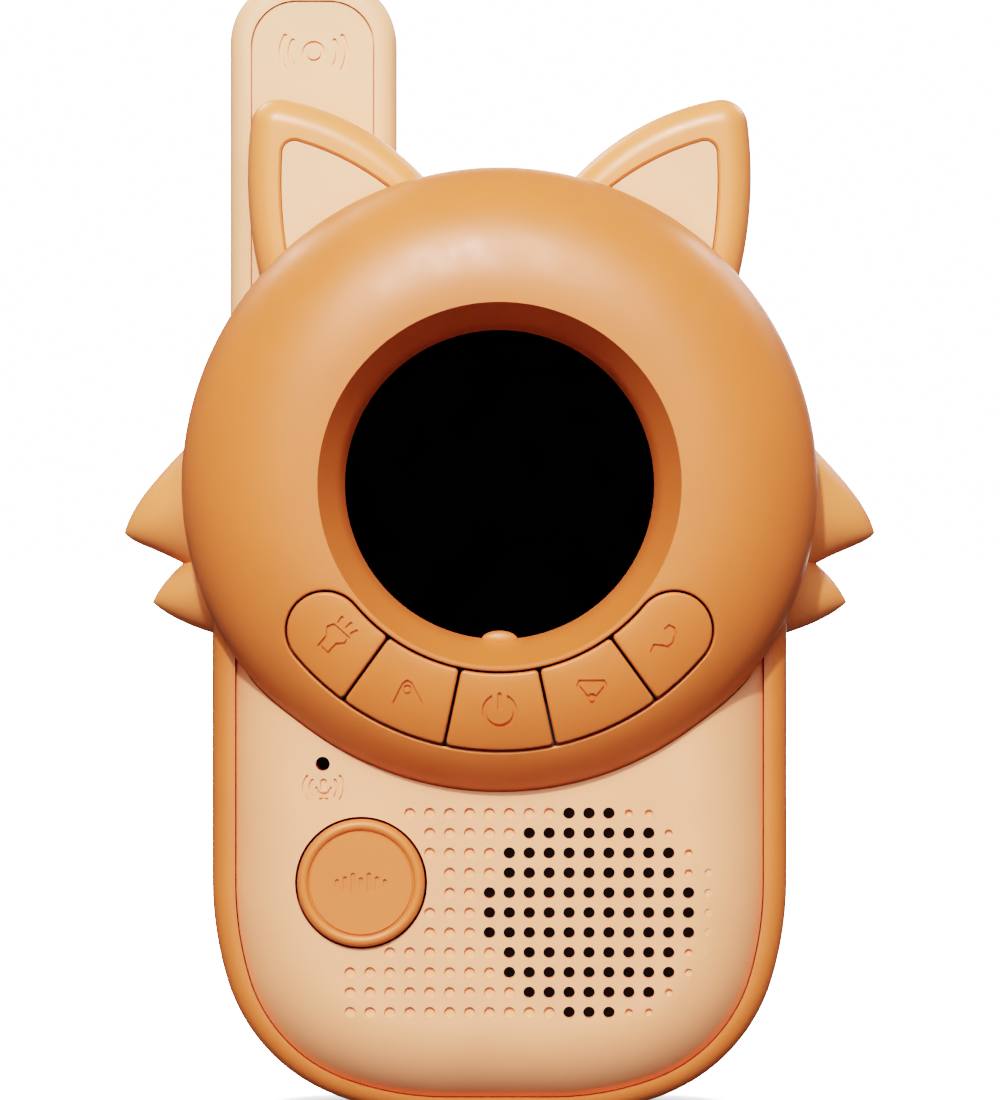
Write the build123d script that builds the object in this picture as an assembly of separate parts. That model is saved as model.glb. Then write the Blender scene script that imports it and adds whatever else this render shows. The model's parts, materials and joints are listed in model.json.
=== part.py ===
from build123d import *
import math
import os

# Toy walkie talkie with a fox-like head: every piece is one solid or one group of like solids.
# Frame: millimetres, +Z up, the front of the toy faces -Y and X = 0 is the middle of the body.
# Heights are measured from a line FOOT above the flat bottom edge; the export lifts every piece by
# FOOT, so that the finished toy stands on z = 0.

# --- case ---
FOOT = 0.6
BODY_HALF = 31.6          # half width of the body
BODY_TOP = 60.0           # top of the body plate, hidden behind the head
CORNER_ARCS = ((35.2, 20.0), (19.8, 53.5), (38.7, 16.5))   # bottom corner: radius, turn in degrees
HEAD_Z = 68.7             # height of the head's centre
HEAD_CASE_R = 33.6        # round part of the case behind the dome
CASE_FRONT = -8.2         # front of the border round the panel
HEAD_SEAT = -4.0          # front of the frame behind the dome
PARTING = 4.0             # where the front frame meets the rear shell
CASE_BACK = 16.0
FRAME_INSIDE = -2.2       # inner face of the frame's front plate
WALL = 1.8
BACK_PLATE = 1.6
BORDER_EDGE = 2.2         # rounding of the border's front edge
BACK_EDGE = 5.0           # rounding of the case's back edge
TALK_BOARD_PINS = ((-13.6, 35.6), (-10.2, 41.0))

# --- front panel ---
RIM = 2.7                 # width of the frame's border beside the panel
PANEL_DROP = 0.5          # the border is this much narrower along the bottom
PANEL_FRONT = -12.0
PANEL_SEAT = -3.2
PANEL_WALL = 1.6
PILLOW_R = 10.0           # the panel's face curves down to the border on this radius
PILLOW_REACH = 1.5        # the curve is cut this far before it would stand upright

# --- head dome ---
DOME_R = 34.8             # widest radius
DOME_FRONT = -20.0
DOME_EQUATOR = -9.3
DOME_BACK = -8.6
CROWN_R = 20.4            # flat front of the dome, where the curve begins
CHIN = 0.972              # the lower half of the dome is this much flatter
DOME_WALL = 1.6
RECESS_RIM_R = 19.6
WINDOW_R = 16.8
WINDOW_Y = -14.0
CORE_R = 20.2
CORE_BACK = -12.4
LENS_R = 17.8
LENS_FRONT = -13.6
NOSE = (1.95, 0.6, 0.95)  # half sizes of the small bead on the window's lower edge
NOSE_Y = -14.25

# --- keys ---
KEY_INNER_R = 20.15
KEY_OUTER_R = 28.9
KEY_END_ANGLE = 50.0      # centre of the rounded ends, from straight down
KEY_SPLITS = (12.0, 36.0)
KEY_GAP = 0.25
KEY_PROUD = 0.25
KEY_EDGE = 0.3            # rounding of the keys' front edges
KEY_CORNER = 0.45
KEY_BACK = -14.0
KEY_TRAVEL = 0.8
KEY_NAMES = ("lamp_button", "up_button", "power_button", "down_button", "call_button")
KEY_MIDDLES = (-47, -24, 0, 24, 47)
LINE = 0.34               # line width of the keys' engraved icons
STROKE = 0.45             # line width of the other engraved icons
ENGRAVING = 0.3           # their depth

# --- talk button ---
TALK_X = -15.09
TALK_Z = 25.33
TALK_R = 6.95
TALK_FACE = -12.8         # front of the button's disc
TALK_GROOVE_R = 5.65

# --- speaker and microphone ---
HOLE_PITCH = 2.17
SPEAKER_X = 9.75
SPEAKER_Z = 22.06
SPEAKER_R = 11.4
SPEAKER_HOOD_R = 13.4     # wall behind the grille
MIC_X = -19.28
MIC_Z = 38.29

# --- batteries and back ---
BAY_HALF = 16.6
BAY_FRONT = 4.0
BAY_BOTTOM = 10.6
BAY_TOP = 58.6
CELL_R = 5.15
CELL_Y = 9.25
CELL_PITCH = 11.1
DOOR_HALF = 18.6
DOOR_BOTTOM = 8.8
DOOR_TOP = 66.0
DOOR_FRONT = 14.8
DOOR_SCREW_Z = 62.9
CLIP_PIVOT_Y = 18.8
CLIP_PIVOT_Z = 92.0

# --- ears, tufts and torch ---
EAR_FRONT = -5.5
EAR_BACK = 2.5
EAR_LIP = 0.25            # bevel round the ear's inlay
TUFT_Y = 0.5
TORCH_Y = 9.0

# --- antenna ---
ANTENNA_X = -20.9
ANTENNA_HALF = 9.33
ANTENNA_TOP = 125.9
ANTENNA_FRONT = 4.5
ANTENNA_BACK = 12.5

# --- places of screws: angles from straight up about the head's centre, or x and z ---
HEAD_SCREW_R = 29.3
HEAD_SCREW_ANGLES = (35, 98, -98, -35)
CARRIER_SCREW_R = 25.0
CARRIER_SCREW_ANGLES = (0, 70, -70)
CASE_SCREW_R = 28.6
CASE_SCREW_ANGLES = (62, -62)
CASE_SCREW_LOW = ((25.0, 17.0), (-25.0, 17.0))
BOARD_PIN_R = 23.2
BOARD_PIN_ANGLES = (45, 135, 225, 315)

FAR = 60.0


# ---------- drawing helpers ----------
def slab(sketch, front, back):
    """A front-view sketch given thickness from y = front to y = back."""
    face = Plane(origin=(0, back, 0), x_dir=(1, 0, 0), z_dir=(0, -1, 0)) * sketch
    return extrude(face, amount=back - front)


def rod(radius, front, back, x=0.0, z=0.0):
    return slab(Pos(x, z) * Circle(radius), front, back)


def tube(outer, inner, front, back, x=0.0, z=0.0):
    return slab(Pos(x, z) * (Circle(outer) - Circle(inner)), front, back)


def block(x0, x1, y0, y1, z0, z1):
    return Pos((x0 + x1) / 2, (y0 + y1) / 2, (z0 + z1) / 2) * Box(x1 - x0, y1 - y0, z1 - z0)


def around_head(radius, angle):
    """x and z of a point at this angle from straight up, clockwise from the front."""
    turn = math.radians(angle)
    return radius * math.sin(turn), HEAD_Z + radius * math.cos(turn)


def mirrored(shape):
    return mirror(shape, about=Plane.YZ)


def arc_slot(inner, outer, half_angle):
    """Arc slot about the head's centre, open downwards, with rounded ends."""
    middle = (inner + outer) / 2
    arc = CenterArc((0, HEAD_Z), middle, 270 - half_angle, 2 * half_angle)
    return SlotArc(arc=arc, height=outer - inner)


def body_outline():
    turned, angle = 0.0, 0.0
    for radius, turn in CORNER_ARCS:
        turned += radius * (math.sin(math.radians(angle + turn)) - math.sin(math.radians(angle)))
        angle += turn
    edges = [Line((0, -FOOT), (BODY_HALF - turned, -FOOT))]
    for radius, turn in CORNER_ARCS:
        edges.append(JernArc(edges[-1] @ 1, edges[-1] % 1, radius, turn))
    edges.append(Line(edges[-1] @ 1, (BODY_HALF, BODY_TOP)))
    edges.append(Line((BODY_HALF, BODY_TOP), (0, BODY_TOP)))
    edges.append(Line((0, BODY_TOP), (0, -FOOT)))
    half = make_face(edges)
    return half + mirrored(half)


def panel_outline(shrink):
    return Pos(0, -PANEL_DROP) * offset(body_outline(), -shrink)


def case_outline():
    return body_outline() + Pos(0, HEAD_Z) * Circle(HEAD_CASE_R)


def oval(radius):
    """Outline of the dome: a circle whose lower half is a little flatter."""
    upper = Circle(radius) & Pos(0, radius) * Rectangle(2 * radius, 2 * radius)
    lower = Circle(radius) & Pos(0, -radius) * Rectangle(2 * radius, 2 * radius)
    return Pos(0, HEAD_Z) * (upper + scale(lower, by=(1, CHIN, 1)))


def dome(grow=0.0):
    """Solid dome, grown or shrunk evenly from the outer surface."""
    side = DOME_R + grow
    front = DOME_FRONT - grow
    back_side = side - 0.4
    edges = [Line((0, front), (CROWN_R, front)),
             EllipticalCenterArc((CROWN_R, DOME_EQUATOR), side - CROWN_R, DOME_EQUATOR - front,
                                 start_angle=-90, arc_size=90),
             ThreePointArc((side, DOME_EQUATOR), (side - 0.1, (DOME_EQUATOR + DOME_BACK) / 2),
                           (back_side, DOME_BACK)),
             Line((back_side, DOME_BACK), (0, DOME_BACK)),
             Line((0, DOME_BACK), (0, front))]
    whole = revolve(make_face(edges), Axis.Y)
    upper = whole & Pos(0, 0, FAR) * Box(2 * FAR, 2 * FAR, 2 * FAR)
    lower = whole & Pos(0, 0, -FAR) * Box(2 * FAR, 2 * FAR, 2 * FAR)
    return Pos(0, 0, HEAD_Z) * (upper + scale(lower, by=(1, 1, CHIN)))


def coil(radius, wire, height, turns):
    """Helical spring standing on z = 0."""
    path = Helix(pitch=(height - 2 * wire) / turns, height=height - 2 * wire, radius=radius)
    section = Plane(origin=path @ 0, z_dir=path % 0) * Circle(wire)
    return Pos(0, 0, wire) * sweep(section, path=path, is_frenet=True)


# ---------- engraved icons, drawn in the front view about (0, 0) ----------
def ring(outer, inner):
    return Circle(outer) - Circle(inner)


def rounded_bar(length, x=0.0, z=0.0, angle=0.0, width=STROKE):
    return Pos(x, z) * Rot(0, 0, angle) * SlotOverall(length, width)


def stroke(*points, width=LINE):
    """A bent line of round-ended bars through these points."""
    icon = Sketch()
    for (x0, z0), (x1, z1) in zip(points, points[1:]):
        length = math.hypot(x1 - x0, z1 - z0) + width
        angle = math.degrees(math.atan2(z1 - z0, x1 - x0))
        icon += rounded_bar(length, (x0 + x1) / 2, (z0 + z1) / 2, angle, width)
    return icon


def lamp_icon():
    """A hand torch that points up to the right, with three rays."""
    corners = ((-1.6, -0.7), (-0.6, -1.6), (0.25, -0.6), (1.3, -0.5), (1.6, 0.1), (0.0, 1.5), (-0.6, 1.3),
               (-0.7, 0.3), (-1.6, -0.7))
    icon = stroke(*corners)
    for x, z, angle in ((0.75, 2.05, 55), (1.65, 1.45, 42), (2.2, 0.7, 28)):
        icon += rounded_bar(0.95, x, z, angle, LINE)
    return icon


def up_icon():
    """A rounded arrow head over a small ring."""
    icon = stroke((-1.45, -1.2), (-0.4, 0.85), (0, 1.1), (0.4, 0.85), (1.45, -1.2))
    return icon + Pos(0, 0.2) * ring(0.5, 0.5 - LINE / 2)


def down_icon():
    """A triangle that points down, with a small ring at its tip."""
    icon = stroke((-0.5, -0.6), (-1.5, 0.65), (-1.3, 1.1), (1.3, 1.1), (1.5, 0.65), (0.5, -0.6))
    return icon + Pos(0, -0.8) * ring(0.6, 0.6 - LINE)


def power_icon():
    open_ring = ring(1.9, 1.9 - STROKE) - Pos(0, 1.6) * Rectangle(1.6, 2)
    return open_ring + rounded_bar(2.0, 0, 1.0, 90)


def call_icon():
    """The bent line of a telephone handset."""
    return stroke((-1.5, -1.4), (-1.2, -0.7), (-0.5, -0.75), (0.3, -0.9), (0.9, -0.4), (1.1, 0.4), (0.9, 1.15),
                  (0.4, 1.4), (0, 1.05))


def wave_icon():
    """Radio waves: a ring between two pairs of arcs."""
    icon = ring(1.28, 0.78)
    for middle in (2.68, 3.69):
        for start in (-30, 150):
            icon += SlotArc(arc=CenterArc((0, 0), middle, start, 60), height=STROKE)
    return icon


def microphone_icon():
    icon = SlotOverall(1.3, 0.7, rotation=90).moved(Location((0, 0.45)))
    cradle = SlotArc(arc=CenterArc((0, 0.25), 0.8, 190, 160), height=0.25)
    icon += cradle + rounded_bar(0.7, 0, -0.8, 90, 0.25) + rounded_bar(1.0, 0, -1.1, 0, 0.25)
    for middle in (1.5, 2.2):
        for start in (-35, 145):
            icon += SlotArc(arc=CenterArc((0, 0.1), middle, start, 70), height=0.28)
    return icon


def voice_icon():
    """A row of bars like a voice's waveform."""
    icon = Sketch()
    for step, length in enumerate((0.9, 1.5, 2.3, 1.3, 2.3, 1.5, 0.9)):
        icon += rounded_bar(length, 0.87 * (step - 3), 0, 90)
    return icon


# ---------- case ----------
def speaker_holes():
    """Through holes behind the black grille area, and the two sizes of blind dimples beside it."""
    through, small, large = [], [], []
    for row in range(11):
        for column in range(19):
            x = SPEAKER_X + (column - 12) * HOLE_PITCH
            z = SPEAKER_Z + (5 - row) * HOLE_PITCH
            spread = (column - 12) ** 2 + (row - 5) ** 2
            place = Pos(x, z)
            beside_talk = math.hypot(x - TALK_X, z - TALK_Z) > 8.0
            above_talk = row < 7 and column < 3 and z > TALK_Z
            if spread <= 26.5:
                through.append(place)
            elif column > 12:
                if spread <= 40:
                    small.append(place)
            elif column < 12 and beside_talk and not above_talk:
                large.append(place)
    return through, small, large


def pillow(inset, front):
    """Block whose front edge is rounded off like a cushion, this far inside the panel's skin."""
    cushion = slab(panel_outline(RIM - PILLOW_REACH + inset), front, front + PILLOW_R + 2)
    return fillet(cushion.faces().sort_by(Axis.Y)[0].edges(), PILLOW_R - inset)


def make_front_panel():
    panel = pillow(0, PANEL_FRONT) & slab(panel_outline(RIM), PANEL_FRONT - 1, PANEL_SEAT)
    panel -= pillow(PANEL_WALL, PANEL_FRONT + PANEL_WALL)
    inner = PANEL_FRONT + PANEL_WALL / 2
    panel += rod(TALK_R + 1.6, inner, PANEL_SEAT, TALK_X, TALK_Z) + rod(1.8, inner, PANEL_SEAT, MIC_X, MIC_Z)
    panel += tube(SPEAKER_HOOD_R, SPEAKER_HOOD_R - 1, inner, PANEL_SEAT, SPEAKER_X, SPEAKER_Z)
    panel = panel & slab(panel_outline(RIM), PANEL_FRONT - 1, PANEL_SEAT)
    panel -= slab(oval(DOME_R - 0.3), DOME_BACK - 0.2, PANEL_SEAT + 1) + dome(0.1)
    through, small, large = speaker_holes()
    panel -= rod(TALK_R + KEY_GAP, PANEL_FRONT - 1, PANEL_SEAT + 1, TALK_X, TALK_Z)
    panel -= rod(0.77, PANEL_FRONT - 1, PANEL_SEAT + 1, MIC_X, MIC_Z)
    panel -= slab(Pos(MIC_X + 0.1, MIC_Z - 2.7) * microphone_icon(), PANEL_FRONT - 1, PANEL_FRONT + ENGRAVING)
    panel -= slab(Sketch() + [p * Circle(0.63) for p in through], PANEL_FRONT - 1, PANEL_FRONT + PANEL_WALL + 0.1)
    panel -= slab(Sketch() + [p * Circle(0.43) for p in small], PANEL_FRONT - 1, PANEL_FRONT + 0.45)
    panel -= slab(Sketch() + [p * Circle(0.6) for p in large], PANEL_FRONT - 1, PANEL_FRONT + 0.4)
    return panel


def ear_tenon(grow):
    """Tongue of the right ear that enters the frame's wall."""
    place = Pos(0, 0, HEAD_Z) * Rot(0, 24, 0) * Pos(0, 1.3, 32.4)
    return place * Box(6 + 2 * grow, 2.2 + 2 * grow, 3.2 + 8 * grow)


def tuft_peg(radius):
    return Pos(32.4, 0.5, 66) * Rot(0, 90, 0) * Cylinder(radius, 3.6)


def make_front_frame():
    body = slab(body_outline(), CASE_FRONT, PARTING)
    rim_edges = body.faces().sort_by(Axis.Y)[0].edges()
    body = fillet(rim_edges, BORDER_EDGE)
    body -= slab(oval(DOME_R - 3.2), CASE_FRONT - 1, HEAD_SEAT)
    frame = body + rod(HEAD_CASE_R, HEAD_SEAT, PARTING, z=HEAD_Z)
    frame -= slab(offset(case_outline(), -WALL), FRAME_INSIDE, PARTING)
    frame += slab(oval(DOME_R - 1.5) - oval(DOME_R - 3.2), DOME_BACK, HEAD_SEAT)
    frame -= slab(panel_outline(RIM - 0.1) - oval(DOME_R - 1.05), CASE_FRONT - 1, PANEL_SEAT)
    frame -= rod(21.0, -10, FRAME_INSIDE, z=HEAD_Z)
    frame -= rod(TALK_R + KEY_GAP, -10, 0, TALK_X, TALK_Z)
    frame -= rod(9.6, -10, 0, SPEAKER_X, SPEAKER_Z)
    frame -= rod(0.77, -10, 0, MIC_X, MIC_Z)
    inner = FRAME_INSIDE
    for x, z in case_screw_places():
        frame += rod(2.4, inner, PARTING - 0.1, x, z)
        frame -= rod(0.85, inner + 0.7, PARTING, x, z)
    for angle in BOARD_PIN_ANGLES:
        x, z = around_head(BOARD_PIN_R, angle)
        frame += rod(1.4, inner, 0, x, z) + rod(0.6, 0, 1.6, x, z)
    for x, z in TALK_BOARD_PINS:
        frame += rod(1.3, inner, 1.6, x, z) + rod(0.6, 1.6, 2.9, x, z)
    for angle in HEAD_SCREW_ANGLES:
        x, z = around_head(HEAD_SCREW_R, angle)
        frame -= rod(1.1, -10, 0, x, z)
    for side in (ear_tenon(0.1), tuft_peg(1.3)):
        frame -= side + mirrored(side)
    return frame


def case_screw_places():
    return [around_head(CASE_SCREW_R, angle) for angle in CASE_SCREW_ANGLES] + list(CASE_SCREW_LOW)


def door_outline(grow):
    middle = (DOOR_BOTTOM + DOOR_TOP) / 2
    return Pos(0, middle) * RectangleRounded(2 * (DOOR_HALF + grow), DOOR_TOP - DOOR_BOTTOM + 2 * grow, 4)


def make_rear_shell():
    shell = slab(case_outline(), PARTING, CASE_BACK)
    shell = fillet(shell.faces().sort_by(Axis.Y)[-1].edges(), BACK_EDGE)
    hollow = slab(offset(case_outline(), -WALL), PARTING, CASE_BACK - BACK_PLATE)
    hollow = fillet(hollow.faces().sort_by(Axis.Y)[-1].edges(), 3.2)
    shell -= hollow
    shell += block(-DOOR_HALF - 1.2, DOOR_HALF + 1.2, 13.2, 15, DOOR_BOTTOM - 1, DOOR_TOP + 1)
    shell += block(-BAY_HALF - 1.2, BAY_HALF + 1.2, BAY_FRONT - 1, 15, BAY_BOTTOM - 1.2, BAY_TOP + 1.2)
    shell -= block(-BAY_HALF, BAY_HALF, BAY_FRONT, 17, BAY_BOTTOM, BAY_TOP)
    shell += rod(2.8, PARTING, 14, z=DOOR_SCREW_Z)
    shell -= rod(1.2, 7.5, 17, z=DOOR_SCREW_Z)
    shell -= slab(door_outline(0.2), DOOR_FRONT - 0.05, 17)
    for x, z in case_screw_places():
        shell += rod(2.9, PARTING, 15, x, z)
        shell -= rod(1.1, PARTING - 1, 8, x, z) + rod(2.2, 6, 17, x, z)
    for x in (-7.3, 7.3):
        lug = Pos(x, CLIP_PIVOT_Y, CLIP_PIVOT_Z) * Rot(0, 90, 0) * Cylinder(2.1, 2.2)
        foot = block(x - 1.1, x + 1.1, 15.5, CLIP_PIVOT_Y, CLIP_PIVOT_Z - 2.1, CLIP_PIVOT_Z + 2.1)
        shell += lug + foot
    shell -= Pos(0, CLIP_PIVOT_Y, CLIP_PIVOT_Z) * Rot(0, 90, 0) * Cylinder(1.02, 30)
    shell -= Pos(0, TORCH_Y, 101) * Cylinder(3.0, 10)
    shell -= antenna_stem(0.1)
    return shell


# ---------- head ----------
def make_head_shell():
    shell = dome()
    cavity = dome(-DOME_WALL) - rod(CORE_R, -30, CORE_BACK, z=HEAD_Z)
    shell -= cavity
    cone = Polyline((0, -21), (RECESS_RIM_R + 0.467, -21), (WINDOW_R, WINDOW_Y), (0, WINDOW_Y), close=True)
    shell -= Pos(0, 0, HEAD_Z) * revolve(make_face(cone), Axis.Y)
    shell -= rod(WINDOW_R, -15, CORE_BACK + 1, z=HEAD_Z)
    shell -= rod(LENS_R + 0.05, LENS_FRONT, CORE_BACK + 1, z=HEAD_Z)
    shell += Pos(0, NOSE_Y, HEAD_Z - WINDOW_R) * scale(Sphere(1), by=NOSE)
    slot = slab(arc_slot(KEY_INNER_R, KEY_OUTER_R, KEY_END_ANGLE), -30, CORE_BACK)
    slotted = shell - slot
    brim = new_edges(shell, slot, combined=slotted).filter_by(lambda e: (e @ 0.5).Y < -16)
    shell = fillet(brim, 0.22)
    solid = dome(-0.5)
    for angle in HEAD_SCREW_ANGLES:
        x, z = around_head(HEAD_SCREW_R, angle)
        shell += (rod(2.2, -20, -7, x, z) & solid) + rod(2.2, DOME_BACK - 1, HEAD_SEAT, x, z)
        shell -= rod(0.85, -12, HEAD_SEAT + 1, x, z)
    for angle in CARRIER_SCREW_ANGLES:
        x, z = around_head(CARRIER_SCREW_R, angle)
        shell += rod(2.0, -20, -9.6, x, z) & solid
        shell -= rod(0.75, -14, -9, x, z)
    return shell


def key_sketches():
    """The five key outlines, from the viewer's left to right."""
    slot = arc_slot(KEY_INNER_R + KEY_GAP, KEY_OUTER_R - KEY_GAP, KEY_END_ANGLE)
    for angle in (*KEY_SPLITS, *(-a for a in KEY_SPLITS)):
        slot -= Pos(0, HEAD_Z) * Rot(0, 0, angle) * Pos(0, -25) * Rectangle(0.3, 14)
    return slot.faces().sort_by(Axis.X)


def beside_split(vertex):
    """True at a key's sharp corners, false where its rounded end begins."""
    return math.degrees(math.atan2(abs(vertex.X), HEAD_Z - vertex.Y)) < KEY_SPLITS[1] + 3


def make_keys():
    flange_ring = arc_slot(24.6, 29.15, 52)
    for angle in (*KEY_SPLITS, *(-a for a in KEY_SPLITS)):
        flange_ring -= Pos(0, HEAD_Z) * Rot(0, 0, angle) * Pos(0, -25) * Rectangle(0.3, 14)
    flanges = flange_ring.faces().sort_by(Axis.X)
    surface = dome(KEY_PROUD)
    bottom = dome(KEY_PROUD - ENGRAVING)
    icons = (lamp_icon(), up_icon(), power_icon(), down_icon(), call_icon())
    keys = {}
    for name, face, flange, icon, angle in zip(KEY_NAMES, key_sketches(), flanges, icons, KEY_MIDDLES):
        outline = Sketch() + face
        outline = fillet(outline.vertices().filter_by(beside_split), KEY_CORNER)
        cap = slab(outline, -22, KEY_BACK) & surface
        cap = fillet(cap.edges().filter_by(lambda e: e.center().Y < -16), KEY_EDGE)
        x, z = around_head(24.4, 180 - angle)
        cap -= slab(Pos(x, z) * icon, -22, KEY_BACK) - bottom
        keys[name] = cap + slab(Sketch() + flange, KEY_BACK - 0.6, KEY_BACK)
    return keys


def make_key_electronics():
    board = slab(arc_slot(20.8, 30.0, 50), -11.0, -10.0)
    membrane = slab(arc_slot(20.6, 29.0, 50), KEY_BACK, KEY_BACK + 0.8)
    switches = []
    for angle in KEY_MIDDLES:
        x, z = around_head(25.0, 180 - angle)
        body = Pos(x, -11.75, z) * Box(3.6, 1.5, 3.6)
        switches.append(body + rod(1.0, KEY_BACK + KEY_TRAVEL, -12.4, x, z))
    return {"keypad_board": board, "keypad_membrane": membrane, "key_switches": Compound(switches)}


def make_display():
    lens = rod(LENS_R, LENS_FRONT, CORE_BACK, z=HEAD_Z)
    gasket = tube(LENS_R, 16.4, CORE_BACK, -12.0, z=HEAD_Z)
    module = rod(LENS_R, -12.0, -9.6, z=HEAD_Z)
    frame = rod(30.0, -9.6, -8.4, z=HEAD_Z) + tube(20.0, LENS_R + 0.1, -12.2, -9.6, z=HEAD_Z)
    frame += slab(arc_slot(23.0, 27.0, 44), -10.0, -9.6)
    for angle in HEAD_SCREW_ANGLES:
        x, z = around_head(HEAD_SCREW_R, angle)
        frame -= rod(2.6, -13, -8, x, z)
    for angle in CARRIER_SCREW_ANGLES:
        x, z = around_head(CARRIER_SCREW_R, angle)
        frame -= rod(0.95, -13, -8, x, z)
    frame -= block(-4.6, 4.6, -10, -8, 59.4, 61.0)
    ribbon = block(-4, 4, -9.6, -0.3, 60.0, 60.3) + block(-4, 4, -0.3, 0, 60.0, 66.0)
    return {"screen_lens": lens, "lens_gasket": gasket, "display_module": module,
            "display_frame": frame, "display_ribbon": ribbon}


# ---------- ears, tufts, antenna ----------
def ear_outline(inner, outer, tip, tip_radius):
    """A leaf from the head up to the tip; inner and outer are two points each, on the two sides."""
    edges = [ThreePointArc(inner[0], inner[1], tip), ThreePointArc(tip, outer[1], outer[0]),
             Polyline(outer[0], (outer[0][0] - 2.8, outer[0][1] - 4), (inner[0][0] - 2, inner[0][1] - 4.5),
                      inner[0])]
    outline = make_face(edges)
    return fillet(outline.vertices().sort_by(Axis.Y)[-1], tip_radius)


def make_right_ear():
    outline = ear_outline(((8.3, 102.8), (15.5, 108.4)), ((26.3, 91.0), (27.8, 101.0)), (27.0, 111.8), 3.0)
    inlay_outline = ear_outline(((10.0, 99.5), (16.2, 104.1)), ((23.0, 92.4), (23.95, 99.8)), (23.8, 107.0), 1.3)
    ear = slab(outline, EAR_FRONT, EAR_BACK)
    for side, radius in ((0, 2.8), (-1, 1.5)):
        rim = ear.faces().sort_by(Axis.Y)[side].edges()
        ear = fillet(rim.filter_by(lambda e: (e @ 0.5).Z > 95 and (e @ 0.5).X > 8), radius)
    pocket = slab(offset(inlay_outline, 0.12), EAR_FRONT - 0.5, EAR_FRONT + 1.2)
    head = rod(HEAD_CASE_R + 0.1, -20, 20, z=HEAD_Z)
    inlay = slab(inlay_outline, EAR_FRONT + 0.15, EAR_FRONT + 1.2) - head
    flare = slab(offset(inlay_outline, 0.12 + EAR_LIP), EAR_FRONT - 0.5, EAR_FRONT + EAR_LIP)
    flare = chamfer(flare.faces().sort_by(Axis.Y)[-1].edges(), EAR_LIP - 0.01)
    return ear - pocket - flare - head + ear_tenon(0), inlay


def spike(sections, tip):
    """Lofted point of a cheek tuft: sections are x, middle z, half height and half depth."""
    faces = []
    for x, z, half_height, half_depth in sections:
        plane = Plane(origin=(x, TUFT_Y, z), x_dir=(0, 1, 0), z_dir=(1, 0, 0))
        faces.append(plane * Ellipse(half_depth, half_height))
    return loft([*(f.face() for f in faces), Vertex(*tip)])


def make_right_tuft():
    upper = spike([(28, 67.8, 10.6, 5.6), (33, 66.9, 8.0, 4.9), (37, 65.9, 4.9, 3.7), (40, 64.7, 2.4, 2.2)],
                  (41.7, TUFT_Y, 63.5))
    lower = spike([(27, 57.6, 6.2, 5.0), (32, 57.3, 4.9, 4.2), (36, 56.7, 2.7, 2.7)],
                  (38.6, TUFT_Y, 55.8))
    case = slab(offset(case_outline(), 0.1), -30, 30)
    return (upper + lower) - case + tuft_peg(1.2)


def antenna_outline(half, top, radius, bottom):
    middle = (top + bottom) / 2
    outline = Pos(ANTENNA_X, middle) * Rectangle(2 * half, top - bottom)
    return fillet(outline.vertices().sort_by(Axis.Y)[-2:], radius)


def antenna_stem(grow):
    return Pos(ANTENNA_X, 8.7, 93) * Box(8.6 + 2 * grow, 6.3 + 2 * grow, 11)


def make_antenna():
    outline = antenna_outline(ANTENNA_HALF, ANTENNA_TOP, 7.5, 80)
    shell = slab(outline, ANTENNA_FRONT, ANTENNA_BACK)
    for side in (0, -1):
        edges = shell.faces().sort_by(Axis.Y)[side].edges().filter_by(lambda e: (e @ 0.5).Z > 81)
        shell = fillet(edges, 2.2)
    inlay_outline = antenna_outline(6.93, 123.1, 5.1, 84)
    shell -= slab(inlay_outline, ANTENNA_FRONT - 1, ANTENNA_FRONT + 0.8)
    head = rod(HEAD_CASE_R + 0.1, -20, 20, z=HEAD_Z)
    shell -= head
    shell += antenna_stem(0)
    shell -= block(ANTENNA_X - 6.2, ANTENNA_X + 6.2, 6.3, 11, 103, 121)
    shell -= Pos(ANTENNA_X, 8.65, 96) * Cylinder(2.5, 20)
    inlay = slab(offset(inlay_outline, -0.2), ANTENNA_FRONT, ANTENNA_FRONT + 0.8) - head
    inlay -= slab(Pos(ANTENNA_X + 0.1, 117.3) * wave_icon(), 0, ANTENNA_FRONT + ENGRAVING)
    winding = Pos(ANTENNA_X, 8.65, 104) * coil(1.9, 0.3, 15, 8)
    lead = Pos(ANTENNA_X + 1.9, 8.65, 95.3) * Cylinder(0.3, 18)
    return {"antenna_shell": shell, "antenna_inlay": inlay, "antenna_coil": winding + lead}


# ---------- talk button, microphone and speaker ----------
def make_talk_button():
    groove = TALK_FACE + 0.2
    edges = [Polyline((0, TALK_FACE), (TALK_GROOVE_R - 0.08, TALK_FACE), (TALK_GROOVE_R - 0.02, groove),
                      (TALK_GROOVE_R + 0.08, groove), (TALK_GROOVE_R + 0.15, TALK_FACE)),
             ThreePointArc((TALK_GROOVE_R + 0.15, TALK_FACE), (6.35, TALK_FACE - 0.22), (TALK_R, TALK_FACE + 0.5)),
             Polyline((TALK_R, TALK_FACE + 0.5), (TALK_R, -2.2), (8.2, -2.2), (8.2, -1.2), (2, -1.2),
                      (2, -1.0), (0, -1.0), (0, TALK_FACE))]
    button = revolve(make_face(edges), Axis.Y)
    button -= rod(TALK_R - 1.4, TALK_FACE + 1.8, -2.2)
    button -= slab(voice_icon(), TALK_FACE - 1, TALK_FACE + 0.25)
    return Pos(TALK_X, 0, TALK_Z) * button


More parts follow.
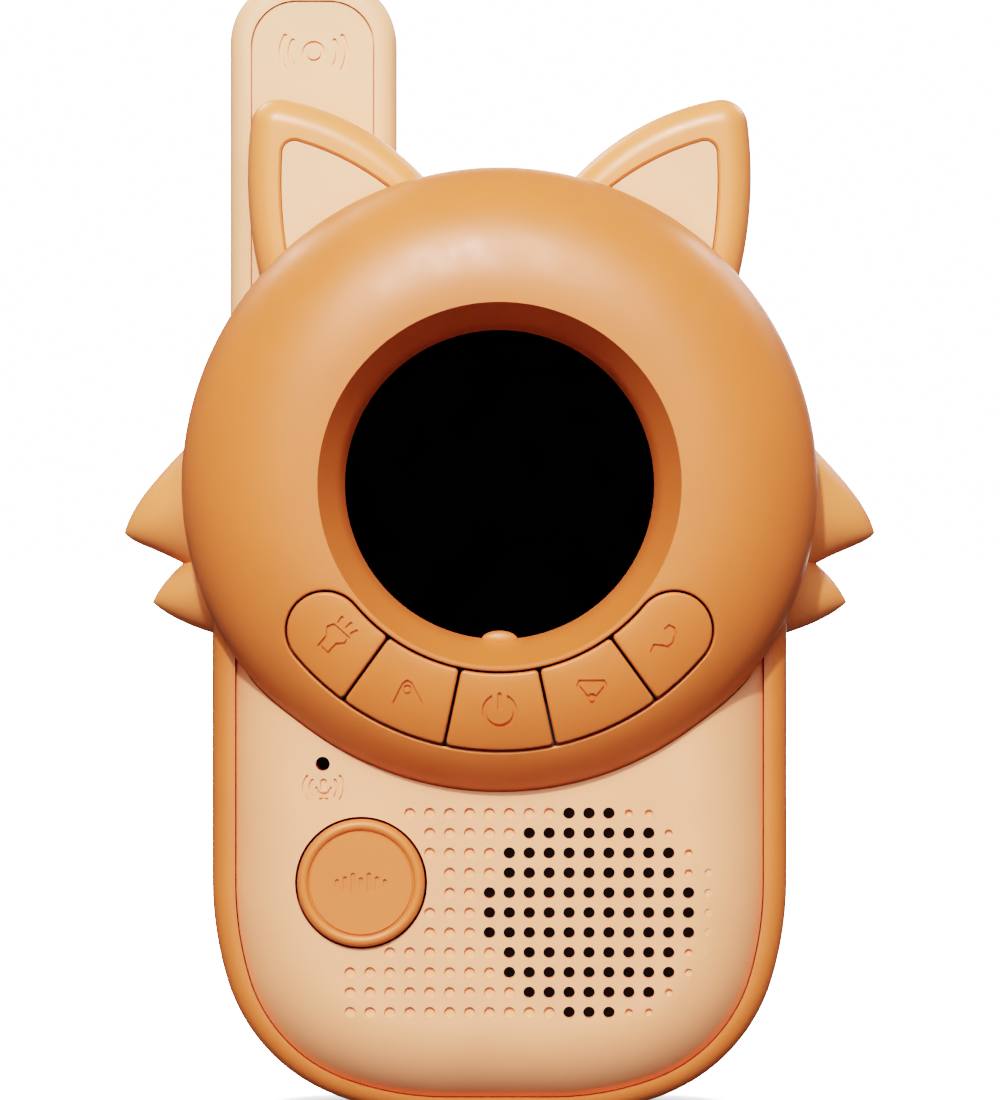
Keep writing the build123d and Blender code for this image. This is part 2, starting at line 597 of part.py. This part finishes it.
def make_talk_parts():
    board = block(-22.4, -8.4, 1.6, 2.6, 17.4, 42.6)
    for x, z in TALK_BOARD_PINS:
        board -= rod(0.7, 0, 4, x, z)
    switch = block(TALK_X - 3, TALK_X + 3, 0.8, 1.6, TALK_Z - 3, TALK_Z + 3)
    switch += rod(1.4, 0.25, 0.8, TALK_X, TALK_Z)
    spring = Pos(TALK_X, -1.15, TALK_Z) * Rot(-90, 0, 0) * coil(5.6, 0.25, 2.7, 3)
    capsule = rod(2.0, -0.4, 1.6, MIC_X, MIC_Z)
    boot = tube(2.8, 2.05, -0.6, 1.6, MIC_X, MIC_Z) + tube(2.8, 0.8, -2.2, -0.6, MIC_X, MIC_Z)
    return {"talk_button": make_talk_button(), "talk_board": board, "talk_switch": switch,
            "talk_spring": spring, "microphone": capsule, "mic_boot": boot}


def make_speaker():
    place = {"x": SPEAKER_X, "z": SPEAKER_Z}
    gasket = tube(SPEAKER_R, 9.6, -2.2, -1.7, **place)
    basket = tube(SPEAKER_R, 9.8, -1.7, -0.9, **place) + tube(10.4, 9.8, -0.9, 1.0, **place)
    basket += tube(10.4, 3.2, 0.4, 1.0, **place)
    profile = Polyline((0, 0.1), (3.0, 0.1), (7.5, -1.0), (9.7, -1.0), (9.7, -1.25), (7.4, -1.25),
                       (2.9, -0.15), (0, -0.15), close=True)
    cone = Pos(SPEAKER_X, 0, SPEAKER_Z) * revolve(make_face(profile), Axis.Y)
    magnet = rod(5.5, 1.0, 2.4, **place)
    cloth_front = PANEL_FRONT + PANEL_WALL + 0.25
    cloth = rod(SPEAKER_HOOD_R - 1.3, cloth_front, cloth_front + 0.3, **place)
    return {"speaker_gasket": gasket, "speaker_frame": basket, "speaker_cone": cone,
            "speaker_magnet": magnet, "grille_cloth": cloth}


# ---------- electronics ----------
def make_electronics():
    board = rod(25.5, 0, 1.2, z=HEAD_Z)
    for angle in BOARD_PIN_ANGLES:
        x, z = around_head(BOARD_PIN_R, angle)
        board -= rod(0.7, -1, 2, x, z)
    shield = block(-8, 8, 1.2, 4.0, 70, 84)
    chips = [block(-17, -11, 1.2, 2.4, 72, 78), block(11, 19, 1.2, 2.8, 66, 71), block(12, 16, 1.2, 2.2, 76, 84)]
    lens = Pos(0, TORCH_Y, 101.2) * Cylinder(2.9, 3.2)
    lens = fillet(lens.faces().sort_by(Axis.Z)[-1].edges(), 0.8)
    lens += Pos(0, TORCH_Y, 99.4) * Cylinder(3.4, 0.8)
    led = Pos(0, TORCH_Y, 96.6) * Cylinder(2.4, 4.4)
    for x in (-1.27, 1.27):
        led += block(x - 0.25, x + 0.25, TORCH_Y - 0.25, TORCH_Y + 0.25, 91.6, 94.6)
        led += block(x - 0.25, x + 0.25, 1.2, TORCH_Y + 0.25, 91.6, 92.1)
    return {"main_board": board, "radio_shield": shield, "board_chips": Compound(chips),
            "torch_lens": lens, "torch_led": led}


# ---------- batteries ----------
def make_batteries():
    length = BAY_TOP - BAY_BOTTOM
    middle = (BAY_TOP + BAY_BOTTOM) / 2
    cells, springs, contacts = [], [], []
    for index in (-1, 0, 1):
        up = -1 if index == 0 else 1
        place = Pos(index * CELL_PITCH, CELL_Y, middle) * Rot(0 if up > 0 else 180, 0, 0)
        cell_base = -length / 2 + 0.4 + 2.7
        cell = Pos(0, 0, cell_base + 21.65) * Cylinder(CELL_R, 43.3)
        cell += Pos(0, 0, cell_base + 43.9) * Cylinder(1.9, 1.2)
        cells.append(place * cell)
        springs.append(place * Pos(0, 0, -length / 2 + 0.4) * coil(2.8, 0.3, 2.65, 3))
        for z in (-length / 2 + 0.2, length / 2 - 0.2):
            contacts.append(place * Pos(0, 0, z) * Box(8, 8, 0.4))
    return {"battery_cells": Compound(cells), "battery_springs": Compound(springs),
            "battery_contacts": Compound(contacts)}


def make_door():
    door = slab(door_outline(0), DOOR_FRONT, CASE_BACK)
    for step in range(4):
        z = DOOR_TOP - 12 - 2.2 * step
        door -= block(-7, 7, CASE_BACK - 0.5, CASE_BACK + 1, z - 0.5, z + 0.5)
    door -= rod(1.25, 14, 17, z=DOOR_SCREW_Z) + rod(2.4, 15.3, 17, z=DOOR_SCREW_Z)
    screw = rod(2.2, 15.35, 15.95, z=DOOR_SCREW_Z) + rod(1.1, 9.0, 15.35, z=DOOR_SCREW_Z)
    screw -= cross_recess(15.55, 16, 0, DOOR_SCREW_Z)
    return {"battery_door": door, "door_screw": screw}


def cross_recess(front, back, x, z):
    return slab(Pos(x, z) * (Rectangle(2.2, 0.5) + Rectangle(0.5, 2.2)), front, back)


def make_screws():
    case = []
    for x, z in case_screw_places():
        screw = rod(0.8, -1.2, 8.1, x, z) + rod(2.0, 8.1, 9.6, x, z)
        case.append(screw - cross_recess(9.0, 10, x, z))
    head = []
    for angle in HEAD_SCREW_ANGLES:
        x, z = around_head(HEAD_SCREW_R, angle)
        head.append(rod(0.8, -11.5, -2.2, x, z) + rod(2.0, -2.2, -1.2, x, z))
    carrier = []
    for angle in CARRIER_SCREW_ANGLES:
        x, z = around_head(CARRIER_SCREW_R, angle)
        carrier.append(rod(0.7, -13.5, -8.4, x, z) + rod(1.6, -8.4, -7.4, x, z))
    return {"case_screws": Compound(case), "head_screws": Compound(head),
            "carrier_screws": Compound(carrier)}


# ---------- belt clip ----------
def make_clip():
    pivot = Pos(0, CLIP_PIVOT_Y, CLIP_PIVOT_Z) * Rot(0, 90, 0)
    arm = block(-5.9, 5.9, 21.4, 23.2, 87, 99) + block(-7.5, 7.5, 21.4, 23.2, 69.5, 88)
    arm = fillet(arm.faces().sort_by(Axis.Y)[-1].edges(), 0.6)
    foot = block(-7.5, 7.5, 16.3, 21.5, 69.5, 71.5)
    barrel = pivot * Cylinder(2.4, 11.8)
    web = block(-5.9, 5.9, CLIP_PIVOT_Y, 21.5, CLIP_PIVOT_Z - 2, CLIP_PIVOT_Z + 2)
    clip = arm + foot + barrel + web
    clip -= block(-2.6, 2.6, 15, 21.1, CLIP_PIVOT_Z - 4, CLIP_PIVOT_Z + 4)
    clip -= pivot * Cylinder(1.08, 20)
    pin = pivot * Cylinder(1.0, 16.8)
    spring = Pos(-2.1, CLIP_PIVOT_Y, CLIP_PIVOT_Z) * Rot(0, 90, 0) * coil(1.6, 0.28, 4.2, 6)
    return {"belt_clip": clip, "clip_pin": pin, "clip_spring": spring}


def make_parts():
    right_ear, right_ear_inlay = make_right_ear()
    right_tuft = make_right_tuft()
    parts = {"front_frame": make_front_frame(), "front_panel": make_front_panel(),
             "rear_shell": make_rear_shell(), "head_shell": make_head_shell(),
             "right_ear": right_ear, "left_ear": mirrored(right_ear),
             "right_ear_inlay": right_ear_inlay, "left_ear_inlay": mirrored(right_ear_inlay),
             "right_cheek_tuft": right_tuft, "left_cheek_tuft": mirrored(right_tuft)}
    for group in (make_keys(), make_key_electronics(), make_display(), make_antenna(),
                  make_talk_parts(), make_speaker(), make_electronics(), make_batteries(),
                  make_door(), make_screws(), make_clip()):
        parts.update(group)
    return parts


os.makedirs("parts", exist_ok=True)
for name, shape in make_parts().items():
    export_step(Pos(0, 0, FOOT) * shape, f"parts/{name}.step")
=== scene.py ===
import json
import math

import bpy
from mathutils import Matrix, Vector


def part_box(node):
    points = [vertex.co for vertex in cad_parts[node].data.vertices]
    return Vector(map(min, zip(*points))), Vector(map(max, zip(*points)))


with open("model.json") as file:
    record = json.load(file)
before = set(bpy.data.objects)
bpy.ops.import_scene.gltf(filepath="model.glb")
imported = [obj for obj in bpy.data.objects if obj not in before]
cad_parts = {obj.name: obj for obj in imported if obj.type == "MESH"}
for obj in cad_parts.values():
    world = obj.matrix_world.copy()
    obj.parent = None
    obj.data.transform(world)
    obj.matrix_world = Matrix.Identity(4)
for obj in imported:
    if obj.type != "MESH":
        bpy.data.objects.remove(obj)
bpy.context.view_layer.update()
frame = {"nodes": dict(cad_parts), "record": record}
NODES = frame["nodes"]
MM = 0.001

# ---------- camera ----------
CAMERA_DISTANCE = 0.62             # from a plane this far behind the panel's front:
CAMERA_PLANE = 5.8 * MM
HEIGHT_SEEN = 0.121                # at that plane
CAMERA_X = 0.05 * MM
CAMERA_Z = 0.0622

# ---------- light ----------
WHITE = 16.0                       # backdrop and floor, as only the camera sees them
LIT_POINT = (0, 0, 0.07)           # the middle of the head
WARM = (1.0, 0.97, 0.93)
SURROUNDINGS = {                   # colour of the dim light that comes from below, the sides and above
    0.15: (0.10, 0.095, 0.09, 1),
    0.85: (0.28, 0.27, 0.265, 1),
    0.5: (0.12, 0.11, 0.105, 1),
}

# ---------- surface ----------
WELD_DISTANCE = 0.0005 * MM
SHARP_EDGE = math.radians(28)


# ---------- materials ----------
def shade(color, factor):
    return tuple(min(c * factor, 1.0) for c in color[:3]) + (1.0,)


class Material:
    """A Principled material with the few node chains that this object's surfaces share."""

    def __init__(self, name, roughness=0.45, metallic=0.0, **sockets):
        self.data = bpy.data.materials.new(name)
        self.data.use_nodes = True
        self.tree = self.data.node_tree
        self.shader = self.tree.nodes["Principled BSDF"]
        self.shader.inputs["Roughness"].default_value = roughness
        self.shader.inputs["Metallic"].default_value = metallic
        for socket, value in sockets.items():
            self.shader.inputs[socket.replace("_", " ")].default_value = value
        self.coords = self.tree.nodes.new("ShaderNodeTexCoord")
        self.bumps = []

    def noise(self, size_mm, detail=2.0, stretch=(1, 1, 1)):
        mapping = self.tree.nodes.new("ShaderNodeMapping")
        mapping.inputs["Scale"].default_value = stretch
        noise = self.tree.nodes.new("ShaderNodeTexNoise")
        noise.inputs["Scale"].default_value = 1 / (size_mm * MM)
        noise.inputs["Detail"].default_value = detail
        self.tree.links.new(self.coords.outputs["Object"], mapping.inputs["Vector"])
        self.tree.links.new(mapping.outputs["Vector"], noise.inputs["Vector"])
        return noise.outputs["Fac"]

    def ramp(self, fac, low, high, start=0.3, end=0.7):
        ramp = self.tree.nodes.new("ShaderNodeValToRGB")
        ramp.color_ramp.elements[0].position = start
        ramp.color_ramp.elements[0].color = low
        ramp.color_ramp.elements[1].position = end
        ramp.color_ramp.elements[1].color = high
        self.tree.links.new(fac, ramp.inputs["Fac"])
        return ramp.outputs["Color"]

    def color_from(self, fac, low, high, **span):
        self.tree.links.new(self.ramp(fac, low, high, **span), self.shader.inputs["Base Color"])

    def roughness_from(self, fac, low, high):
        spread = self.tree.nodes.new("ShaderNodeMapRange")
        spread.inputs["From Min"].default_value = 0.3
        spread.inputs["From Max"].default_value = 0.7
        spread.inputs["To Min"].default_value = low
        spread.inputs["To Max"].default_value = high
        self.tree.links.new(fac, spread.inputs["Value"])
        self.tree.links.new(spread.outputs["Result"], self.shader.inputs["Roughness"])

    def bump_from(self, fac, depth_mm, strength=1.0):
        bump = self.tree.nodes.new("ShaderNodeBump")
        bump.inputs["Strength"].default_value = strength
        bump.inputs["Distance"].default_value = depth_mm * MM
        self.tree.links.new(fac, bump.inputs["Height"])
        if self.bumps:
            self.tree.links.new(self.bumps[-1].outputs["Normal"], bump.inputs["Normal"])
        self.bumps.append(bump)
        self.tree.links.new(bump.outputs["Normal"], self.shader.inputs["Normal"])


def moulded_plastic(name, color, roughness=0.42, glow=0.04):
    """Satin moulded plastic: faint cloudy colour, fine sparkle grain, slow roughness drift."""
    material = Material(name, roughness, Subsurface_Weight=glow, Subsurface_Scale=1.2 * MM,
                        Subsurface_Radius=(1.0, 0.5, 0.3))
    cloud = material.noise(9.0, 3.0)
    material.color_from(cloud, shade(color, 0.97), shade(color, 1.03))
    material.roughness_from(material.noise(3.0, 2.0), roughness - 0.04, roughness + 0.05)
    material.bump_from(material.noise(0.16, 1.0), 0.006)
    material.bump_from(material.noise(14.0, 1.0), 0.05, 0.25)
    return material.data


def dark_plastic(name, color, roughness=0.4):
    material = Material(name, roughness)
    material.color_from(material.noise(4.0), shade(color, 0.85), shade(color, 1.2))
    material.roughness_from(material.noise(1.5), roughness - 0.05, roughness + 0.08)
    material.bump_from(material.noise(0.2, 1.0), 0.008)
    return material.data


def screen_black(name):
    """Printed black lens: deep black with a satin front and the faintest haze."""
    material = Material(name, 0.35, Specular_IOR_Level=0.0)
    material.color_from(material.noise(6.0), (0.0, 0.0, 0.0, 1.0), (0.0006, 0.0006, 0.0007, 1.0))
    material.roughness_from(material.noise(2.0), 0.3, 0.4)
    return material.data


def steel(name, color=(0.62, 0.62, 0.64, 1.0), roughness=0.3):
    material = Material(name, roughness, metallic=1.0)
    scratches = material.noise(0.35, 3.0, stretch=(1, 1, 14))
    material.color_from(scratches, shade(color, 0.85), shade(color, 1.1))
    material.roughness_from(scratches, roughness - 0.06, roughness + 0.12)
    material.bump_from(scratches, 0.004)
    return material.data


def circuit_board(name):
    """Green solder mask with a hint of the copper tracks under it."""
    material = Material(name, 0.3)
    tracks = material.tree.nodes.new("ShaderNodeTexVoronoi")
    tracks.distance = "CHEBYCHEV"
    tracks.feature = "DISTANCE_TO_EDGE"
    tracks.inputs["Scale"].default_value = 1 / (2.6 * MM)
    material.tree.links.new(material.coords.outputs["Object"], tracks.inputs["Vector"])
    material.color_from(tracks.outputs["Distance"], (0.03, 0.19, 0.07, 1), (0.012, 0.09, 0.035, 1),
                        start=0.05, end=0.09)
    material.bump_from(tracks.outputs["Distance"], 0.02, 0.4)
    return material.data


def silicone(name, color):
    material = Material(name, 0.5, Subsurface_Weight=0.3, Subsurface_Scale=1.5 * MM)
    material.color_from(material.noise(3.0), shade(color, 0.95), shade(color, 1.0))
    material.bump_from(material.noise(0.3), 0.01)
    return material.data


def clear_plastic(name):
    material = Material(name, 0.12, Transmission_Weight=0.85, IOR=1.49)
    material.color_from(material.noise(4.0), (0.93, 0.95, 0.97, 1), (0.98, 0.99, 1.0, 1))
    material.bump_from(material.noise(1.2), 0.01)
    return material.data


ORANGE = (0.67, 0.178, 0.056, 1)
PEACH = (0.93, 0.39, 0.215, 1)
EAR = (0.90, 0.28, 0.11, 1)
PALE = (0.95, 0.45, 0.26, 1)
ANTENNA = (0.95, 0.47, 0.27, 1)
TUFT = (0.84, 0.27, 0.105, 1)
KEY = (0.70, 0.180, 0.056, 1)

MATERIALS = {
    "orange": moulded_plastic("orange_plastic", ORANGE),
    "peach": moulded_plastic("peach_plastic", PEACH, 0.5),
    "ear": moulded_plastic("ear_plastic", EAR, 0.38),
    "pale": moulded_plastic("pale_plastic", PALE, 0.5),
    "antenna": moulded_plastic("antenna_plastic", ANTENNA, 0.55),
    "tuft": moulded_plastic("tuft_plastic", TUFT, 0.42),
    "key": moulded_plastic("key_plastic", KEY, 0.45),
    "screen": screen_black("screen_black"),
    "dark": dark_plastic("dark_plastic", (0.02, 0.02, 0.022, 1)),
    "rubber": dark_plastic("rubber", (0.015, 0.015, 0.015, 1), 0.75),
    "white": dark_plastic("white_plastic", (0.75, 0.75, 0.72, 1), 0.35),
    "jacket": dark_plastic("cell_jacket", (0.03, 0.045, 0.09, 1), 0.25),
    "flex": dark_plastic("amber_flex", (0.5, 0.2, 0.03, 1), 0.35),
    "steel": steel("steel"),
    "copper": steel("copper", (0.72, 0.38, 0.22, 1), 0.25),
    "board": circuit_board("circuit_board"),
    "silicone": silicone("silicone", (0.03, 0.03, 0.032, 1)),
    "clear": clear_plastic("clear_plastic"),
}

SLOT_LOOKS = {
    "orange_shell": "orange", "peach_panel": "peach", "ear_shell": "ear", "pale_inlay": "pale",
    "antenna_shell": "antenna", "tuft": "tuft", "key_plastic": "key", "black_lens": "screen",
    "black_plastic": "dark", "board_green": "board", "silicone": "silicone", "black_rubber": "rubber",
    "steel": "steel", "copper": "copper", "white_plastic": "white", "clear_plastic": "clear",
    "cell_jacket": "jacket", "amber_flex": "flex",
}


def dress_cad_nodes():
    """Every CAD node that stays visible gets its material and clean shading."""
    slots = {s["node"]: s["material_slot"] for s in frame["record"]["subparts"]}
    for name, node in NODES.items():
        node.data.materials.clear()
        node.data.materials.append(MATERIALS[SLOT_LOOKS[slots[name]]])
        for face in node.data.polygons:
            face.use_smooth = True
        weld = node.modifiers.new("weld", "WELD")
        weld.merge_threshold = WELD_DISTANCE
        split = node.modifiers.new("split", "EDGE_SPLIT")
        split.split_angle = SHARP_EDGE


# ---------- stage ----------
def area_light(name, place, size, watts, color=WARM, size_y=None):
    data = bpy.data.lights.new(name, "AREA")
    data.shape = "RECTANGLE"
    data.size = size
    data.size_y = size_y or size
    data.energy = watts
    data.color = color
    light = bpy.data.objects.new(name, data)
    light.location = place
    light.rotation_euler = (Vector(LIT_POINT) - Vector(place)).to_track_quat("-Z", "Y").to_euler()
    bpy.context.scene.collection.objects.link(light)


def towards(azimuth, elevation, distance):
    """A place seen from the head at those angles, in degrees; azimuth 0 is straight in front."""
    turn, rise = math.radians(azimuth), math.radians(elevation)
    flat = distance * math.cos(rise)
    return (-flat * math.sin(turn), -flat * math.cos(turn), LIT_POINT[2] + distance * math.sin(rise))


def make_lights():
    """A small key light, a wide softbox and a low fill in front, and three lights from behind."""
    area_light("key", towards(7, 34, 0.9), 0.035, 6.8)
    area_light("softbox", towards(4, 33, 0.8), 0.55, 4.5, (1.0, 0.98, 0.96), 0.3)
    area_light("rim", (-0.30, 0.30, 0.50), 0.20, 1.2)
    area_light("side", (0.33, 0.28, 0.42), 0.20, 0.8)
    area_light("fill", (0, -0.8, 0.06), 0.9, 1.4, (1.0, 0.97, 0.94), 0.4)
    area_light("back", (0.1, 0.8, 0.25), 0.6, 3.5, (1.0, 0.98, 0.96))


def set_ramp(ramp, colors):
    """Give a colour ramp these colours by position; the first two take over its own two stops."""
    stops = ramp.color_ramp.elements
    for index, (position, color) in enumerate(colors.items()):
        stop = stops[index] if index < 2 else stops.new(position)
        stop.position = position
        stop.color = color


def make_world():
    """White for the camera; for the light on the object, dim surroundings that are warm from below."""
    world = bpy.data.worlds.new("studio")
    bpy.context.scene.world = world
    world.use_nodes = True
    tree = world.node_tree
    background = tree.nodes["Background"]
    output = tree.nodes["World Output"]
    coords = tree.nodes.new("ShaderNodeTexCoord")
    split = tree.nodes.new("ShaderNodeSeparateXYZ")
    ramp = tree.nodes.new("ShaderNodeValToRGB")
    spread = tree.nodes.new("ShaderNodeMapRange")
    spread.inputs["From Min"].default_value = -1.0
    spread.inputs["From Max"].default_value = 1.0
    set_ramp(ramp, SURROUNDINGS)
    tree.links.new(coords.outputs["Generated"], split.inputs["Vector"])
    tree.links.new(split.outputs["Z"], spread.inputs["Value"])
    tree.links.new(spread.outputs["Result"], ramp.inputs["Fac"])
    tree.links.new(ramp.outputs["Color"], background.inputs["Color"])
    white = tree.nodes.new("ShaderNodeBackground")
    white.inputs["Strength"].default_value = WHITE
    path = tree.nodes.new("ShaderNodeLightPath")
    mix = tree.nodes.new("ShaderNodeMixShader")
    tree.links.new(path.outputs["Is Camera Ray"], mix.inputs["Fac"])
    tree.links.new(background.outputs["Background"], mix.inputs[1])
    tree.links.new(white.outputs["Background"], mix.inputs[2])
    tree.links.new(mix.outputs["Shader"], output.inputs["Surface"])


def make_floor():
    """A white sweep that glows for the camera, with a painted contact shadow that darkens it only
    where the object stands close over it.
    """
    reach = 30.0
    mesh = bpy.data.meshes.new("floor")
    corners = [(-reach, -reach, 0), (reach, -reach, 0), (reach, reach, 0), (-reach, reach, 0)]
    mesh.from_pydata(corners, [], [(0, 1, 2, 3)])
    floor = bpy.data.objects.new("floor", mesh)
    bpy.context.scene.collection.objects.link(floor)
    paint = bpy.data.materials.new("floor_white_painted_shadow")
    paint.use_nodes = True
    tree = paint.node_tree
    tree.nodes.clear()
    # painted contact shadow: ambient occlusion darkens the floor's glow where the object stands close
    # over it
    shadow = tree.nodes.new("ShaderNodeAmbientOcclusion")
    shadow.inputs["Distance"].default_value = 0.006
    ramp = tree.nodes.new("ShaderNodeValToRGB")
    set_ramp(ramp, {0.2: (0.03, 0.03, 0.03, 1), 1.0: (1, 1, 1, 1), 0.8: (0.12, 0.12, 0.12, 1)})
    glow = tree.nodes.new("ShaderNodeEmission")
    glow.inputs["Strength"].default_value = WHITE
    output = tree.nodes.new("ShaderNodeOutputMaterial")
    tree.links.new(shadow.outputs["AO"], ramp.inputs["Fac"])
    tree.links.new(ramp.outputs["Color"], glow.inputs["Color"])
    tree.links.new(glow.outputs["Emission"], output.inputs["Surface"])
    mesh.materials.append(paint)
    floor.visible_diffuse = False
    floor.visible_glossy = False
    floor.visible_transmission = False
    floor.visible_shadow = False


def make_camera():
    """Straight in front, level with the middle of the picture, as a product shot is taken."""
    panel_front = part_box("front_panel")[0].y
    data = bpy.data.cameras.new("camera")
    data.lens = data.sensor_width * CAMERA_DISTANCE / HEIGHT_SEEN
    data.clip_start = 0.01
    data.clip_end = 100
    camera = bpy.data.objects.new("camera", data)
    camera.location = (CAMERA_X, panel_front + CAMERA_PLANE - CAMERA_DISTANCE, CAMERA_Z)
    camera.rotation_euler = (math.radians(90), 0, 0)
    bpy.context.scene.collection.objects.link(camera)
    bpy.context.scene.camera = camera


make_camera()
make_world()
make_lights()
make_floor()
dress_cad_nodes()
bpy.context.scene.view_settings.view_transform = "Filmic"
bpy.context.scene.view_settings.look = "High Contrast"
